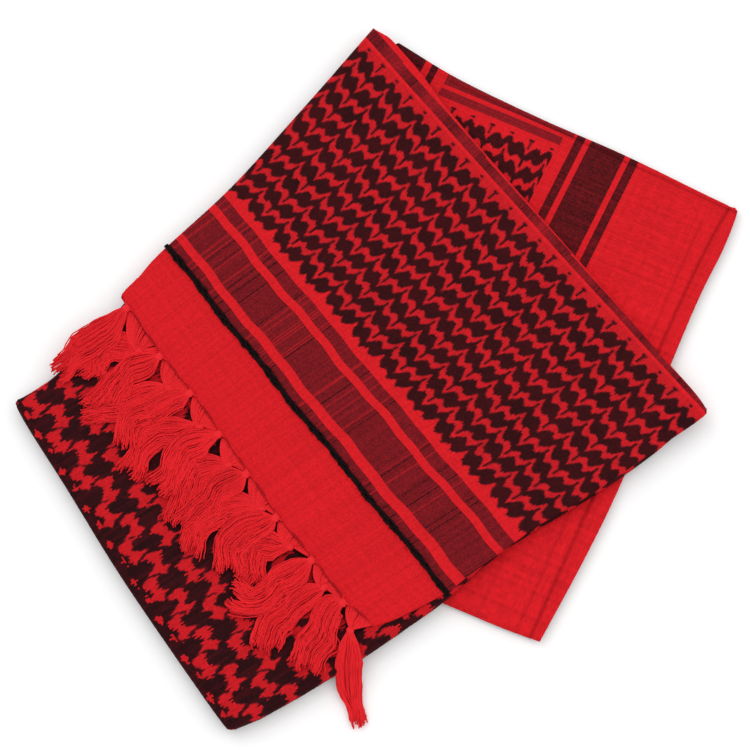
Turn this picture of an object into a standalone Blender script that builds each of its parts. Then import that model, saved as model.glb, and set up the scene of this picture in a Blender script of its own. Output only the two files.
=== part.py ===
"""A square cotton headscarf with a knotted fringe, folded and laid flat.

The cloth is folded to a strip a quarter of its width, and the strip is laid down in arms that
cross. Three stretches of it show: the fringed end on top, the middle with the large check below
it, and the hemmed side of the cloth, which points right. Each is a thin wall whose rim turns
down where the cloth is folded under. The hidden layers are one solid with a layered edge.
Tassels are flat knotted heads with separate locks of yarn.

The object rests on z = 0, with +X to the right and +Y away from the viewer. The tables are in
millimetres, measured from the middle of the strip, and PLAN_CENTRE moves the origin to the
middle of the whole outline.
"""
import math

import bpy
import numpy as np

MM = 0.001
PLAN_CENTRE = (4.87, 4.5)

CLOTH = 1.2  # wall of one stretch of cloth
GAP = 0.3  # room between pieces that lie on each other
FOLD_RADIUS = 2.2  # outer radius where a stretch turns down
SAMPLE_STEP = 15.0  # distance between points along an outline

SIDE_TOP = 4.2  # heights of the three stretches above the surface
MIDDLE_TOP = SIDE_TOP + 4 * CLOTH
END_TOP = MIDDLE_TOP + CLOTH + GAP
HEM_WIDTH = 9.0  # turned hem of the plain side
HEM_RISE = 0.4

LOCKS = 6  # locks of yarn in one tassel
LOCK_STATIONS = (0.0, 0.25, 0.5, 0.76, 1.0)
NET_LEVEL = MIDDLE_TOP + GAP + 0.6  # mid heights of the two levels of tassels
EDGE_LEVEL = NET_LEVEL + 1.6

# Outlines: sides in order, seen from above, clockwise. Each row is x, y of a point on the side.
# The second value of a side is 1 where the cloth is folded under there and 0 where it is flat.
END_SIDES = {
    "right fold": (1, [(-1, 204), (16.5, 191), (38, 158), (74.5, 110.5), (112.5, 63), (149, 16.5),
                       (172, -12), (178.5, -22)]),
    "front edge": (0, [(178.5, -22), (176, -27), (149.5, -45.5), (118.5, -67.5), (87.5, -86.5),
                       (51.5, -112.5), (38, -123), (13, -136.5), (-1, -141.5)]),
    "fringed edge": (0, [(-1, -141.5), (-15.5, -129), (-51.5, -82), (-83.5, -36), (-116.5, 7.5),
                         (-133.5, 32.5)]),
    "left corner": (0, [(-133.5, 32.5), (-139, 41.5), (-130, 53)]),
    "left fold": (1, [(-130, 53), (-118, 68), (-80.5, 106), (-42, 152.5), (-1, 204)]),
}
MIDDLE_SIDES = {
    "hidden right": (0, [(-1, 198), (35, 153), (71, 106), (109, 59), (170, -28)]),
    "front fold": (1, [(170, -28), (150, -46), (118.5, -68.5), (69, -99.5), (35.5, -128),
                       (13, -144), (-7.5, -158), (-39, -177.5), (-59.5, -189), (-74, -195)]),
    "left fold": (1, [(-74, -195), (-79, -191.5), (-106.5, -153.5), (-136, -111),
                      (-163.5, -67.5), (-192.5, -22), (-190, -15)]),
    "back fold": (1, [(-190, -15), (-181, -9), (-169.5, 1), (-141, 36), (-119, 64), (-81, 102),
                      (-42, 148), (-1, 198)]),
}
SIDE_SIDES = {
    "back fold": (1, [(14, 197.5), (48, 175), (93, 151), (137, 130), (181, 106.5),
                      (200, 96.5)]),
    "hemmed side": (0, [(200, 96.5), (201, 93), (192, 71), (174.5, 36), (135, -55),
                        (113.5, -99), (86.5, -148)]),
    "front fold": (1, [(86.5, -148), (65.5, -140), (44.5, -131), (-5, -110)]),
    "hidden front": (0, [(-5, -110), (-20, -104)]),
    "hidden left": (0, [(-20, -104), (6, 203)]),
    "hidden back": (0, [(6, 203), (14, 197.5)]),
}
# Layers that pass from under the one arm to under the other.
BRIDGE_SIDES = {
    "far end": (0, [(-34, 110), (8, 110)]),
    "side": (0, [(8, 110), (8, -70)]),
    "near end": (0, [(8, -70), (-44, -70)]),
    "middle": (0, [(-44, -70), (-34, 110)]),
}
FLOOR_STACK_SIDES = {
    "left fold": MIDDLE_SIDES["left fold"],
    "back fold": (1, [(-190, -15), (-181, -9), (-169.5, 1), (-141, 36), (-119, 64), (-81, 102),
                      (-42, 148), (4, 199)]),
    "beside the other arm": (1, [(4, 199), (-22.5, -105.5)]),
    "behind the other arm": (1, [(-22.5, -105.5), (22, -123.5), (31, -131)]),
    "front fold": (1, [(31, -131), (13, -144), (-7.5, -158), (-39, -177.5), (-59.5, -189),
                       (-74, -195)]),
}

# Rims of the stacks. Each row is height, inset from the outline: each bulge is one fold of cloth.
FLOOR_STACK_RIM = [(0.0, 1.2), (0.35, 0.3), (1.1, 0.0), (1.9, 0.5), (2.15, 1.4), (2.4, 0.5),
                   (3.2, 0.1), (4.3, 0.1), (4.9, 0.7), (5.2, 1.9), (5.5, 2.5)]
UPPER_STACK_RIM = [(4.96, 1.9), (5.06, 1.6), (6.9, 1.6), (7.5, 2.4)]
SIDE_STACK_RIM = [(0.0, 0.9), (0.3, 0.2), (0.8, 0.0), (1.3, 0.4), (1.5, 1.5), (2.2, 1.6),
                  (2.7, 2.2)]
BRIDGE_RIM = [(0.7, 0.3), (2.1, 0.0)]

# Knots at the woven edge, x and y, from the back corner to the front corner.
EDGE_KNOTS = [(-133, 32), (-116, 7), (-99, -14), (-83, -37), (-68, -59), (-52, -83),
              (-33, -106), (-16, -129), (-1, -141.5)]
# Tassels: two points on the way, the tip, and the width of the spread at the tip.
EDGE_TASSELS = [
    ((-143, 26), (-158, 17), (-172, 2), 13),
    ((-123, 2), (-134, -8), (-147, -18), 13),
    ((-106, -17), (-120, -25), (-133, -37), 13),
    ((-88, -42), (-98, -53), (-105, -68), 12),
    ((-73, -65), (-83, -73), (-90, -85), 12),
    ((-58, -88), (-66, -98), (-71, -111), 13),
    ((-39, -113), (-54, -122), (-73, -123), 13),
    ((-21, -136), (-35, -149), (-47, -162), 13),
]
# The same for the knots below the edge, whose own places come first.
NET_TASSELS = [
    ((-127, 11), (-136, 9), (-148, 5), (-159, 0), 12),
    ((-111, -10), (-119, -14), (-135, -19), (-151, -26), 13),
    ((-94, -33), (-103, -36), (-117, -47), (-124, -64), 14),
    ((-78, -58), (-85, -59), (-95, -66), (-101, -83), 13),
    ((-63, -79), (-72, -79), (-86, -85), (-91, -101), 14),
    ((-44, -100), (-50, -106), (-59, -112), (-68, -118), 10),
    ((-27, -123), (-34, -129), (-47, -136), (-59, -142), 12),
    ((-13, -144), (-12, -157), (-10, -172), (-7, -189), 9),
]
# The way of the last tassel, which hangs over the front fold to the surface.
HANGING_ROUTE = [(-12.2, -157, NET_LEVEL + 0.3), (-11.4, -165, NET_LEVEL - 0.8), (-10.5, -171, 5.6),
                 (-9.3, -178, 2.2), (-7, -189, 1.5)]

RED = (0.72, 0.012, 0.018)
DARK = (0.03, 0.008, 0.012)


def clear_scene():
    """Removes whatever the scene holds."""
    for thing in list(bpy.data.objects):
        bpy.data.objects.remove(thing, do_unlink=True)


def material(name, colour):
    """A matt cotton of one colour."""
    made = bpy.data.materials.new(name)
    made.use_nodes = True
    shader = made.node_tree.nodes["Principled BSDF"]
    shader.inputs["Base Color"].default_value = (*colour, 1.0)
    shader.inputs["Roughness"].default_value = 0.9
    shader.inputs["Metallic"].default_value = 0.0
    return made


def add_object(name, points, faces, finish):
    """A named object from points in millimetres."""
    placed = np.asarray(points, float) - (*PLAN_CENTRE, 0.0)
    mesh = bpy.data.meshes.new(name)
    mesh.from_pydata((placed * MM).tolist(), [], faces)
    mesh.update()
    made = bpy.data.objects.new(name, mesh)
    made.data.materials.append(finish)
    bpy.context.scene.collection.objects.link(made)
    return made


def smooth_curve(points, fractions):
    """A Catmull-Rom curve through the points, read at fractions of its length."""
    p = np.asarray(points, float)
    p = np.vstack([2 * p[0] - p[1], p, 2 * p[-1] - p[-2]])
    t = np.linspace(0, 1, 13)[:, None]
    runs = []
    for a, b, c, d in zip(p[:-3], p[1:-2], p[2:-1], p[3:]):
        runs.append(0.5 * (2 * b + (c - a) * t + (2 * a - 5 * b + 4 * c - d) * t**2
                           + (3 * b - a - 3 * c + d) * t**3))
    fine = np.vstack(runs)
    length = np.concatenate([[0], np.cumsum(np.linalg.norm(np.diff(fine, axis=0), axis=1))])
    wanted = np.asarray(fractions) * length[-1]
    return np.column_stack([np.interp(wanted, length, column) for column in fine.T])


def point_count(points):
    """How many points a side of an outline gets."""
    length = np.linalg.norm(np.diff(np.asarray(points, float), axis=0), axis=1).sum()
    return max(2, round(length / SAMPLE_STEP))


def outline(sides):
    """Points round a stretch, and for each how far it is folded under, from 0 to 1."""
    loop, fold, last = [], [], list(sides.values())[-1][0]
    for folded, points in sides.values():
        count = point_count(points)
        loop.append(smooth_curve(points, np.arange(count) / count))
        fold += [0.5 * (folded + last)] + [float(folded)] * (count - 1)
        last = folded
    return np.vstack(loop), np.asarray(fold)


def inset(loop, distance):
    """The clockwise loop moved inwards, at right angles to its sides, with mitred corners."""
    before = loop - np.roll(loop, 1, axis=0)
    after = np.roll(loop, -1, axis=0) - loop
    inward = [np.column_stack([e[:, 1], -e[:, 0]]) / np.linalg.norm(e, axis=1)[:, None]
              for e in (before, after)]
    total = inward[0] + inward[1]
    mitre = 2 / np.maximum((total**2).sum(axis=1), 0.6)[:, None]
    return loop + total * mitre * np.reshape(distance, (-1, 1))


def ring_faces(first, second, count):
    """Quads from one ring of points to the next."""
    return [(first + i, first + (i + 1) % count, second + (i + 1) % count, second + i)
            for i in range(count)]


def with_height(loop, z):
    """The loop in space, at one height or one for each point."""
    return np.column_stack([loop, np.broadcast_to(z, len(loop))])


def cloth_panel(name, sides, top, drop, finish, hem=None):
    """A stretch of cloth: a wall one layer thick that turns down by drop where it is folded.

    The rings run from the rim over the rounded fold to the middle, once for the upper face and
    once for the lower face, and the rim joins them. Where the edge is flat the rings follow a
    plain cut edge instead. A hem raises the upper face near one side.
    """
    loop, fold = outline(sides)
    count, middle = len(loop), loop.mean(axis=0)
    corner = 1 - math.sqrt(0.5)
    inner = FOLD_RADIUS - CLOTH
    # Inset and fall below the top for a folded and for a flat edge, from the rim inwards.
    upper = [(0, drop, 0, CLOTH), (0, FOLD_RADIUS, 0, 0.5 * CLOTH),
             (corner * FOLD_RADIUS, corner * FOLD_RADIUS, 0.2, 0.15), (FOLD_RADIUS, 0, FOLD_RADIUS, 0)]
    lower = [(CLOTH, drop, CLOTH, CLOTH), (CLOTH, FOLD_RADIUS, 1.4 * CLOTH, CLOTH),
             (CLOTH + corner * inner, CLOTH + corner * inner, 1.7 * CLOTH, CLOTH),
             (FOLD_RADIUS, CLOTH, FOLD_RADIUS, CLOTH)]
    rows = []
    for table in (upper, lower):
        rings = []
        for deep, fall, flat_deep, flat_fall in table:
            rings.append(with_height(inset(loop, fold * deep + (1 - fold) * flat_deep),
                                     top - (fold * fall + (1 - fold) * flat_fall)))
        rows.append(rings)
    if hem:
        # The hem's band is the part of the outline between the ends of its side.
        names = list(sides)
        first = sum(point_count(sides[name][1]) for name in names[:names.index(hem)])
        on_hem = np.zeros(count)
        on_hem[first:first + point_count(sides[hem][1]) + 1] = 1.0
        rows[0][3][:, 2] += HEM_RISE * on_hem
        rows[0][2][:, 2] += HEM_RISE * on_hem
        for width, narrow, share in ((HEM_WIDTH, 0.6, 1.0), (HEM_WIDTH + 0.7, 1.2, 0.0)):
            deep = on_hem * width + (1 - on_hem) * (FOLD_RADIUS + narrow)
            rows[0].append(with_height(inset(loop, deep), top + share * HEM_RISE * on_hem))
    rows[0].append(with_height(loop + (middle - loop) * 0.45, top))
    points = np.vstack(rows[0] + rows[1] + [[(*middle, top), (*middle, top - CLOTH)]])
    faces = []
    outer = len(rows[0])
    for k in range(outer - 1):
        faces += ring_faces(k * count, (k + 1) * count, count)
    for k in range(outer, outer + len(rows[1]) - 1):
        faces += ring_faces((k + 1) * count, k * count, count)
    faces += ring_faces(outer * count, 0, count)
    apex = len(points) - 2
    last_upper, last_lower = (outer - 1) * count, (outer + len(rows[1]) - 1) * count
    for i in range(count):
        j = (i + 1) % count
        faces.append((last_upper + i, last_upper + j, apex))
        faces.append((last_lower + j, last_lower + i, apex + 1))
    # Clockwise outlines give inward faces, so each is turned round.
    return add_object(name, points, [face[::-1] for face in faces], finish)


def stack(name, sides, rim, middle, finish):
    """Hidden layers: the outline carried up through the rows of its rim, flat below and above.

    The flat faces are fans round the middle, a point that sees the whole outline.
    """
    loop, _ = outline(sides)
    count = len(loop)
    rings = [with_height(inset(loop, deep), z) for z, deep in rim]
    points = np.vstack([*rings, [(*middle, rim[0][0]), (*middle, rim[-1][0])]])
    low, high, last = len(points) - 2, len(points) - 1, (len(rim) - 1) * count
    faces = []
    for k in range(len(rim) - 1):
        faces += [face[::-1] for face in ring_faces(k * count, (k + 1) * count, count)]
    for i in range(count):
        j = (i + 1) % count
        faces.append((i, j, low))
        faces.append((last + j, last + i, high))
    return add_object(name, points, faces, finish)


def fuse(body, others):
    """Joins the other solids to the body and leaves them as hidden helpers.

    Each is moved by a few hundredths of a millimetre, so that no edges cross exactly.
    """
    for number, other in enumerate(others, 1):
        other.location = (0.03 * number * MM, -0.02 * number * MM, 0.0)
        other.hide_render = True
        other.display_type = "WIRE"
        joined = body.modifiers.new("join " + other.name, "BOOLEAN")
        joined.operation = "UNION"
        joined.solver = "EXACT"
        joined.object = other


def unit(v):
    """The vector at length one."""
    return np.asarray(v, float) / np.linalg.norm(v)


def section(centre, across, half_width, half_height):
    """A flat rounded section of a tassel's head: its upper row, then its lower row, as points."""
    pitch = np.linspace(-1, 1, 3 * LOCKS - 1)
    at = pitch[[i for i in range(3 * LOCKS - 1) if i % 3 != 2]]
    dome = half_height * np.sqrt(1 - (0.8 * at) ** 2)
    plan = np.asarray(centre[:2]) + np.outer(at * half_width, across)
    return np.vstack([with_height(plan, centre[2] + dome), with_height(plan, centre[2] - dome)])


def tassel(name, head, route, spread, finish):
    """A knotted head and its locks.

    The head is a row of sections. The front of its last section has a face for each lock with a
    gap beside it, and each lock is that face carried along the route, wider apart towards the
    tip, in a shallow wave and to a length of its own.
    """
    points = np.vstack([section(*row) for row in head])
    ring = 4 * LOCKS
    half = ring // 2
    order = list(range(half)) + list(range(ring - 1, half - 1, -1))
    faces = []
    for k in range(len(head) - 1):
        for a, b in zip(order, order[1:] + order[:1]):
            faces.append((k * ring + a, k * ring + b, (k + 1) * ring + b, (k + 1) * ring + a))
    for i in range(half - 1):
        faces.append((i + 1, i, i + half, i + 1 + half))
    front = (len(head) - 1) * ring
    points = points.tolist()
    root_width = 2 * head[-1][2]
    number = int(name.rsplit("_", 1)[1])
    for lock in range(LOCKS):
        left, right = front + 2 * lock, front + 2 * lock + 1
        loop = [left, right, right + half, left + half]
        if lock < LOCKS - 1:
            faces.append((right, right + 1, right + 1 + half, right + half))
        side = lock / (LOCKS - 1) - 0.5
        reach = 0.93 + 0.07 * math.sin(2.4 * lock + 1.7 * number)
        for t in LOCK_STATIONS[1:]:
            here, ahead = smooth_curve(route, np.clip([t * reach, t * reach + 0.02], 0, 1))
            if t * reach >= 0.98:
                here, ahead = smooth_curve(route, [0.97, 0.99])
            across = unit([ahead[1] - here[1], here[0] - ahead[0]])
            width = root_width + (spread - root_width) * t**0.8
            wave = 0.9 * math.sin(5.5 * t + number) * t
            centre = here[:2] + across * (width * side * 0.85 + wave)
            half_lock = 0.36 * width / LOCKS * (1 if t < 1 else 0.45)
            half_high = 0.55 if t < 1 else 0.3
            ends = (centre - across * half_lock, centre + across * half_lock)
            start = len(points)
            points += [(*ends[0], here[2] + half_high), (*ends[1], here[2] + half_high),
                       (*ends[1], here[2] - half_high), (*ends[0], here[2] - half_high)]
            new = [start, start + 1, start + 2, start + 3]
            for a in range(4):
                b = (a + 1) % 4
                faces.append((loop[a], loop[b], new[b], new[a]))
            loop = new
        faces.append(tuple(loop))
    return add_object(name, points, faces, finish)


def edge_tassels(finish):
    """Tassels knotted at the woven edge: they lie on the others."""
    for number, (first, second, tip, spread) in enumerate(EDGE_TASSELS, 1):
        knot = EDGE_KNOTS[number - 1]
        way = unit(np.subtract(first, knot))
        across = np.array([way[1], -way[0]])
        # Distance from the woven edge, mid height, half width and half height of each section.
        rows = ((1.2, EDGE_LEVEL - 0.4, 1.6, 1.2), (3.2, EDGE_LEVEL, 2.5, 1.9),
                (5.4, EDGE_LEVEL, 2.2, 0.9), (7.6, EDGE_LEVEL, 3.2, 0.6))
        head = [((*(np.asarray(knot) + way * far), high), across, wide, tall)
                for far, high, wide, tall in rows]
        start = np.asarray(knot) + way * rows[-1][0]
        route = [(*p, EDGE_LEVEL) for p in (start, first, second, tip)]
        if np.linalg.norm(start - first) < 4:
            route.pop(1)
        tassel(f"edge_tassel_{number}", head, route, spread, finish)


def net_tassels(finish):
    """Tassels knotted below the edge: a triangular tab of threads leads to each knot."""
    for number, (knot, first, second, tip, spread) in enumerate(NET_TASSELS, 1):
        ends = np.asarray(EDGE_KNOTS[number - 1:number + 1], float)
        along = unit(ends[1] - ends[0])
        out = np.array([along[1], -along[0]])
        base = ends.mean(axis=0) + out * 1.1
        half_base = 0.5 * np.linalg.norm(ends[1] - ends[0]) - 3.4
        way = unit(np.subtract(first, knot))
        across = np.array([way[1], -way[0]])
        between = unit(-along + across)
        middle = 0.5 * (base + np.asarray(knot))
        neck = np.asarray(knot) + way * 2.4
        start = np.asarray(knot) + way * 5.0
        head = [((*base, NET_LEVEL), -along, half_base, 0.5),
                ((*middle, NET_LEVEL), between, 0.5 * half_base, 0.55),
                ((*knot, NET_LEVEL + 0.7), across, 2.3, 1.5),
                ((*neck, NET_LEVEL + 0.2), across, 2.1, 0.8),
                ((*start, NET_LEVEL), across, 3.2, 0.6)]
        route = [(*p, NET_LEVEL) for p in (start, first, second, tip)]
        if number == len(NET_TASSELS):
            route[1:] = HANGING_ROUTE
        elif np.linalg.norm(start - first) < 4:
            route.pop(1)
        tassel(f"net_tassel_{number}", head, route, spread, finish)


def main():
    clear_scene()
    cloth = material("woven_cotton_red", RED)
    check = material("woven_cotton_check", DARK)
    yarn = material("cotton_yarn_red", RED)
    cloth_panel("end_panel", END_SIDES, END_TOP, END_TOP - SIDE_TOP - 0.8, cloth)
    cloth_panel("middle_panel", MIDDLE_SIDES, MIDDLE_TOP, MIDDLE_TOP - 5.5, check)
    cloth_panel("side_panel", SIDE_SIDES, SIDE_TOP, 2.3, cloth, hem="hemmed side")
    layers = stack("folded_layers", FLOOR_STACK_SIDES, FLOOR_STACK_RIM, (-60, -115), check)
    over = stack("layers_over_the_other_arm", MIDDLE_SIDES, UPPER_STACK_RIM, (60, 0), check)
    side = stack("layers_of_the_side_arm", SIDE_SIDES, SIDE_STACK_RIM, (80, 30), cloth)
    bridge = stack("layers_between_the_arms", BRIDGE_SIDES, BRIDGE_RIM, (4, 20), check)
    fuse(layers, [over, side, bridge])
    edge_tassels(yarn)
    net_tassels(yarn)


main()
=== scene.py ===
"""The looks of a red and black cotton headscarf that lies folded on a pale table.

Lengths are in millimetres in the tables and are made metres in one place, add_mesh. The tables use
the frame of the cloth's own plan, and PLAN_CENTRE moves it to the middle of the outline.

Each stretch of cloth is a thin shell on a grid of threads. A grid point has two woven coordinates,
along and across the threads. They give its place on the table, its height, and how much dark weft
covers the red warp there. Near a fold the shell turns down over a round edge.
"""
import math

import bpy
import numpy as np
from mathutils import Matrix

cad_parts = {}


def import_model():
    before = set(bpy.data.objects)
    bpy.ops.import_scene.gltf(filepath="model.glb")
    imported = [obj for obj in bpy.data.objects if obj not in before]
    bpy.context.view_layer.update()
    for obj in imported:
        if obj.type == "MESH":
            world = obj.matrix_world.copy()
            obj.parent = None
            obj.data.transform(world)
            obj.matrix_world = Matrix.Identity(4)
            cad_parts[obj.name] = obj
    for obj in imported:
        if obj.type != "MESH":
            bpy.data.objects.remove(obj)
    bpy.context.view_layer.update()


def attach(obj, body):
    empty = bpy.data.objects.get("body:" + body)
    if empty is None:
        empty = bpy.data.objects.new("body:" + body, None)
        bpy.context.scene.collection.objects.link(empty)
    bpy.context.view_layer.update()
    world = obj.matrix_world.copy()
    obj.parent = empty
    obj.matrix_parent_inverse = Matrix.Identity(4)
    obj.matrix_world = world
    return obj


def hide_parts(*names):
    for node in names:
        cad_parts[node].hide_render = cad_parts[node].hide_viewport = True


MM = 0.001
PLAN_CENTRE = (4.87, 4.5)
THREAD = 0.83  # side of one crossing of threads as drawn; the real one measures about 0.77

# Heights of the three stretches above the table.
SIDE_TOP = 4.2
MIDDLE_TOP = 9.0
END_TOP = 10.5

# Colours of the dyed cotton in sRGB.
RED, MAROON, BLACK = "D01A22", "82161E", "22090C"
CHECK_MAROON = "5C1018"
FRINGE_RED, BORDER_BLACK = "EA2830", "1A0A0C"

# Outlines seen from above, clockwise. Each side has the radius of its edge, how far the shell goes
# down there, and its points.
END_SIDES = [
    (2.2, 5.5, [(-1, 204), (16.5, 191), (38, 158), (74.5, 110.5), (112.5, 63), (149, 16.5),
                (172, -12), (178.5, -22)]),
    (0.9, 1.3, [(178.5, -22), (176, -27), (149.5, -45.5), (118.5, -67.5), (87.5, -86.5),
                (51.5, -112.5), (38, -123), (13, -136.5), (-1, -141.5)]),
    (0.0, 0.0, [(-1, -141.5), (-15.5, -129), (-51.5, -82), (-83.5, -36), (-116.5, 7.5),
                (-133.5, 32.5)]),
    (0.9, 1.3, [(-133.5, 32.5), (-139, 41.5), (-130, 53)]),
    (2.2, 5.5, [(-130, 53), (-118, 68), (-80.5, 106), (-42, 152.5), (-1, 204)]),
]
MIDDLE_SIDES = [
    (2.2, 3.5, [(-1, 198), (35, 153), (71, 106), (109, 59), (170, -28)]),
    (2.2, 3.5, [(170, -28), (150, -46), (118.5, -68.5), (69, -99.5), (35.5, -128), (13, -144),
                (-7.5, -158), (-39, -177.5), (-59.5, -189), (-74, -195)]),
    (2.2, 3.5, [(-74, -195), (-79, -191.5), (-106.5, -153.5), (-136, -111), (-163.5, -67.5),
                (-192.5, -22), (-190, -15)]),
    (2.2, 3.5, [(-190, -15), (-181, -9), (-169.5, 1), (-141, 36), (-119, 64), (-81, 102),
                (-42, 148), (-1, 198)]),
]
SIDE_SIDES = [
    (1.8, 2.4, [(14, 197.5), (48, 175), (93, 151), (137, 130), (181, 106.5), (200, 96.5)]),
    (0.7, 1.2, [(200, 96.5), (201, 93), (192, 71), (174.5, 36), (135, -55), (113.5, -99),
                (86.5, -148)]),
    (1.8, 2.4, [(86.5, -148), (65.5, -140), (44.5, -131), (-5, -110)]),
    (0.5, 0.8, [(-5, -110), (-14, -60), (-3, 160), (3, 191), (14, 197.5)]),
]
# Outlines of the hidden layers. The lowest ones lie only where nothing else is below the middle.
FLOOR_STACK = [(-190, -15), (-181, -9), (-169.5, 1), (-141, 36), (-119, 64), (-81, 102),
               (-42, 148), (-1, 197), (2, 190), (-22, -104), (22, -122), (30, -131), (13, -144),
               (-7.5, -158), (-39, -177.5), (-59.5, -189), (-74, -195), (-79, -191.5),
               (-106.5, -153.5), (-136, -111), (-163.5, -67.5), (-192.5, -22)]
UPPER_STACK = [(-190, -15), (-181, -9), (-169.5, 1), (-141, 36), (-119, 64), (-81, 102),
               (-42, 148), (-1, 197), (35, 153), (71, 106), (109, 59), (168, -28), (150, -46),
               (118.5, -68.5), (69, -99.5), (35.5, -128), (13, -144), (-7.5, -158), (-39, -177.5),
               (-59.5, -189), (-74, -195), (-79, -191.5), (-106.5, -153.5), (-136, -111),
               (-163.5, -67.5), (-192.5, -22)]
SIDE_STACK = [(10, 190), (18, 193), (48, 174), (93, 150), (137, 129), (181, 105.5), (199, 95.5),
              (191, 71), (173.5, 36), (134, -55), (112.5, -99), (87, -146), (65.5, -139.5),
              (44.5, -130.5), (-2, -110)]

# The end stretch: each row is the distance from the fringed edge and where the line at that
# distance passes, at the oval numbered -6 and at the oval numbered 20.
END_ROWS = [
    (43.0, (-135.6, 96.3), (46.3, -135.8)),
    (45.3, (-133.3, 98.3), (48.2, -134.6)),
    (49.8, (-129.5, 101.5), (52.6, -131.9)),
    (54.4, (-126.5, 104.1), (57.7, -128.7)),
    (74.4, (-111.3, 116.9), (76.0, -117.3)),
    (79.2, (-107.1, 120.5), (80.3, -114.7)),
    (85.3, (-102.3, 124.6), (86.0, -111.1)),
    (89.9, (-99.1, 127.3), (90.3, -108.5)),
    (107.1, (-87.0, 137.0), (108.5, -99.0)),
    (119.2, (-77.0, 144.0), (118.5, -92.0)),
    (143.4, (-57.0, 160.5), (139.5, -77.3)),
    (167.6, (-38.6, 178.0), (161.0, -64.0)),
    (191.8, (-21.0, 198.0), (182.5, -49.0)),
    (212.0, (-6.0, 213.0), (200.4, -37.5)),
]
OVAL_ALONG = 11.9
OVAL_ACROSS = 12.1
# Maroon bands across the end stretch, by distance from the fringed edge, and the thick weft there.
END_BANDS = ((45.3, 49.8), (54.4, 74.4), (79.2, 85.3))
CORD_FROM, CORD_TO = 43.0, 45.3
CORD_PLACE = 44.2  # where the thick yarns themselves lie
# Maroon bands of the side stretch, by distance from the hem, and its two bands beside the fold:
# first and last place along the hem, and the distance from the hem where they start.
SIDE_BANDS = ((59.5, 64.5), (67.5, 88.5), (92.0, 97.0))
FOLD_BANDS = ((-20.0, -1.3, 98.0), (1.2, 6.0, 103.5))
# Knots at the fringed edge, from the back corner to the front corner, with their oval numbers.
EDGE_KNOTS = [(-135, 35), (-116, 7), (-99, -14), (-83, -37), (-68, -59), (-52, -83),
              (-33, -106), (-16, -129), (-1, -141.5)]
KNOT_NUMBERS = (-1.83, 1.19, 3.62, 6.2, 8.57, 11.2, 13.83, 16.48, 18.13)

# One half of a red line of the ovals pattern, from the oval that points up to the one that points
# down: place along it, upper edge and lower edge, in ovals.
OVAL_LINE = [
    (0.00, -0.62, -0.27), (0.055, -0.53, -0.26), (0.07, -0.48, 0.02), (0.10, -0.38, 0.05),
    (0.15, -0.29, 0.12), (0.20, -0.22, 0.18), (0.26, -0.16, 0.28), (0.32, -0.12, 0.31),
    (0.38, -0.08, 0.26), (0.44, -0.07, 0.18), (0.50, -0.09, 0.14), (0.57, -0.18, 0.12),
    (0.64, -0.25, 0.13), (0.72, -0.22, 0.17), (0.80, -0.16, 0.30), (0.86, -0.11, 0.40),
    (0.93, -0.05, 0.52), (0.945, 0.30, 0.55), (1.00, 0.34, 0.67),
]
FIRST_LINE = -7.55  # the rows where the first of the red lines runs, and the step to the next
LINE_STEP = 0.995
# One red figure of the large check, round its edge, and its repeat.
CHECK_FIGURE = [
    (-5.9, -3.0), (-4.2, -4.2), (-2.2, -4.1), (-0.9, -2.6), (0.6, -1.3), (2.2, -1.4), (3.4, -3.2),
    (4.4, -4.4), (5.1, -3.4), (5.8, -1.6), (8.0, -0.6), (7.1, 0.8), (5.4, 2.6), (4.6, 5.0),
    (3.9, 7.8), (3.0, 5.6), (1.9, 3.6), (-0.2, 2.2), (-2.9, 2.7), (-4.3, 4.2), (-5.4, 6.4),
    (-6.0, 3.6), (-7.1, 1.4),
]
CHECK_ALONG = 24.4
CHECK_ROW = 10.3
CHECK_FIRST_ROW = 7.6
CHECK_FOLD = 3.6  # width of the band between the left fold and its crease
CHECK_ORIGIN = (-192.0, -22.0)
CHECK_AXES = ((0.556, -0.831), (0.831, 0.556))
# The side stretch: its corner, then the ways along the hem and in from it.
HEM_CORNER = (200.0, 96.5)
HEM_AXES = ((-0.4147, -0.9100), (-0.9100, 0.4147))
SIDE_OVAL_IN = 12.0
SIDE_OVAL_ALONG = 12.5

# Tassels at the edge: four points on the way out from the knot, the last one the tip, and how wide
# it spreads there. The tassels in the net have their knot first.
EDGE_TASSELS = [
    ((-144, 24), (-153, 15), (-162, 7), (-172, -1), 13),
    ((-124, 3), (-134, -3), (-142, -12), (-146, -22), 18),
    ((-106, -16), (-118, -21), (-128, -29), (-132, -44), 17),
    ((-94, -41), (-102, -47), (-108, -58), (-115, -68), 18),
    ((-74, -62), (-84, -68), (-92, -78), (-100, -90), 17),
    ((-58, -86), (-69, -90), (-75, -100), (-77, -112), 22),
    ((-40, -111), (-51, -120), (-62, -127), (-75, -124), 15),
    ((-22, -131), (-28, -141), (-32, -152), (-36, -164), 18),
]
NET_TASSELS = [
    ((-128, 10), (-136, 13), (-146, 10), (-153, 4), (-156, -4), 16),
    ((-111, -11), (-121, -14), (-133, -17), (-145, -22), (-156, -25), 15),
    ((-94, -33), (-105, -34), (-116, -37), (-124, -45), (-132, -58), 17),
    ((-78, -54), (-88, -55), (-96, -60), (-101, -70), (-103, -84), 15),
    ((-60, -78), (-72, -75), (-82, -77), (-91, -85), (-98, -101), 16),
    ((-45, -99), (-54, -98), (-62, -100), (-65, -109), (-66, -119), 14),
    ((-27, -121), (-35, -125), (-45, -132), (-53, -139), (-56, -154), 17),
    ((-13, -144), (-14, -161), (-13.5, -167.5), (-11, -178), (-8.5, -191), 10),
]
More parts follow.
